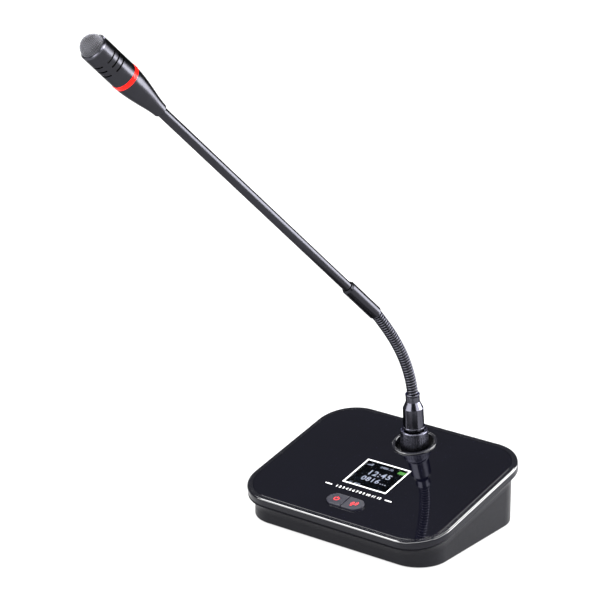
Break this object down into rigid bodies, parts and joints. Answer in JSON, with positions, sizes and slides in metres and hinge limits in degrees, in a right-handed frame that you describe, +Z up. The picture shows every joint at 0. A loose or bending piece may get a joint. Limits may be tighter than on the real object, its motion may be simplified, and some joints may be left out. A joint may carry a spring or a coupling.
{
  "type": "conference delegate unit",
  "caption": "Sloped desk base with a glossy panel, display and two keys; a plug-in gooseneck microphone with a red light ring stands in a knurled lock ring.",
  "frame": {"origin": "on the desk, at the centre of the non-slip pad's underside", "axes": "+Z up, +X to the user's right, -Y towards the user"},
  "size_m": [0.16, 0.2737, 0.3595],
  "materials": {
    "rim_plastic": "satin moulded ABS, rounded rim",
    "panel_gloss": "mirror gloss inset panel",
    "casing_plastic": "fine matt moulded ABS",
    "screen_glass": "clear lens over the display",
    "screen_glow": "lit colour display",
    "key_plastic": "soft grey, slightly translucent",
    "pad_rubber": "matt, fine grain",
    "ballast_steel": "zinc plated",
    "screw_steel": "zinc plated",
    "board_green": "solder resist",
    "chip_black": "moulded package",
    "can_steel": "tinned can",
    "battery_wrap": "wrapped pouch cell",
    "ribbon_film": "polyimide film",
    "trim_gloss": "gloss black lip",
    "socket_metal": "nickel plated brass",
    "insulator": "moulded insulator",
    "contact_gold": "gold plated",
    "ring_metal": "black anodised, knurled",
    "plug_metal": "black anodised, polished",
    "neck_metal": "black coated round wire",
    "stem_metal": "fine satin black",
    "light_red": "translucent red, lit",
    "grille_metal": "black woven mesh",
    "foam": "open cell foam",
    "capsule_metal": "plain",
    "lead_rubber": "smooth"
  },
  "bodies": {
    "base": {"upper_shell": "rim_plastic", "top_panel": "panel_gloss", "display_window": "screen_glass", "display_module": "screen_glow", "display_ribbon": "ribbon_film", "lower_casing": "casing_plastic", "non_slip_pad": "pad_rubber", "ballast_plate": "ballast_steel", "case_screws": "screw_steel", "board_screws": "screw_steel", "main_board": "board_green", "radio_module": "can_steel", "main_chips": "chip_black", "antenna_board": "board_green", "battery_pack": "battery_wrap", "charge_board": "board_green", "charge_socket": "can_steel", "key_board": "board_green", "switch_left": "chip_black", "switch_right": "chip_black", "trim_cup": "trim_gloss", "socket_barrel": "socket_metal", "socket_nut": "socket_metal", "socket_insert": "insulator"},
    "left_key": {"key_left": "key_plastic", "plunger_left": "key_plastic"},
    "right_key": {"key_right": "key_plastic", "plunger_right": "key_plastic"},
    "plug": {"plug_body": "plug_metal", "plug_insert": "insulator", "plug_pins": "contact_gold", "neck_ferrule": "stem_metal"},
    "ring": {"locking_ring": "ring_metal"},
    "neck_1": {"neck_link_1": "neck_metal"},
    "neck_2": {"neck_link_2": "neck_metal"},
    "neck_3": {"neck_link_3": "neck_metal"},
    "neck_4": {"neck_link_4": "neck_metal"},
    "neck_5": {"neck_link_5": "neck_metal"},
    "neck_6": {"neck_link_6": "neck_metal"},
    "neck_7": {"neck_link_7": "neck_metal"},
    "neck_8": {"neck_link_8": "neck_metal"},
    "microphone": {"collar": "stem_metal", "stem_tube": "stem_metal", "stem_lead": "lead_rubber", "head_cone": "stem_metal", "light_ring": "light_red", "light_board": "board_green", "head_tube": "stem_metal", "grille_bezel": "stem_metal", "grille_dome": "grille_metal", "grille_foam": "foam", "capsule": "capsule_metal", "capsule_mount": "lead_rubber", "slot_liner": "foam"}
  },
  "joints": [
    {"name": "left_key_press", "type": "slide", "parent": "base", "child": "left_key", "axis": [0, 0.2096, -0.9778], "range_m": [0, 0.0008], "stiffness_N_per_m": 1500},
    {"name": "right_key_press", "type": "slide", "parent": "base", "child": "right_key", "axis": [0, 0.2096, -0.9778], "range_m": [0, 0.0008], "stiffness_N_per_m": 1500},
    {"name": "plug_lift", "type": "slide", "parent": "base", "child": "plug", "axis": [-0.0181, -0.0674, 0.9976], "range_m": [0, 0.014]},
    {"name": "ring_turn", "type": "hinge", "parent": "plug", "child": "ring", "pos_m": [0, 0.03823, 0.04191], "axis": [-0.0181, -0.0674, 0.9976], "range_deg": [0, 720]},
    {"name": "neck_pitch_1", "type": "hinge", "parent": "plug", "child": "neck_1", "pos_m": [-0.00068, 0.03571, 0.07932], "axis": [0.9659, -0.2588, 0], "range_deg": [-15, 7.5]},
    {"name": "neck_side_1", "type": "hinge", "parent": "neck_1", "child": "neck_2", "pos_m": [-0.00114, 0.03398, 0.08821], "axis": [0.2506, 0.9354, 0.2494], "range_deg": [-12, 12]},
    {"name": "neck_pitch_2", "type": "hinge", "parent": "neck_2", "child": "neck_3", "pos_m": [-0.00183, 0.03139, 0.09687], "axis": [0.9659, -0.2588, 0], "range_deg": [-15, 7.5]},
    {"name": "neck_pitch_3", "type": "hinge", "parent": "neck_3", "child": "neck_4", "pos_m": [-0.00273, 0.02805, 0.10526], "axis": [0.9659, -0.2588, 0], "range_deg": [-15, 7.5]},
    {"name": "neck_side_2", "type": "hinge", "parent": "neck_4", "child": "neck_5", "pos_m": [-0.00379, 0.02407, 0.11335], "axis": [0.2262, 0.8441, 0.4862], "range_deg": [-12, 12]},
    {"name": "neck_pitch_4", "type": "hinge", "parent": "neck_5", "child": "neck_6", "pos_m": [-0.005, 0.01957, 0.12113], "axis": [0.9659, -0.2588, 0], "range_deg": [-15, 7.5]},
    {"name": "neck_pitch_5", "type": "hinge", "parent": "neck_6", "child": "neck_7", "pos_m": [-0.00632, 0.01465, 0.12864], "axis": [0.9659, -0.2588, 0], "range_deg": [-15, 7.5]},
    {"name": "neck_side_3", "type": "hinge", "parent": "neck_7", "child": "neck_8", "pos_m": [-0.00773, 0.00938, 0.1359], "axis": [0.2038, 0.7605, 0.6166], "range_deg": [-12, 12]},
    {"name": "neck_pitch_6", "type": "hinge", "parent": "neck_8", "child": "microphone", "pos_m": [-0.00921, 0.00387, 0.14295], "axis": [0.9659, -0.2588, 0], "range_deg": [-15, 7.5]}
  ]
}
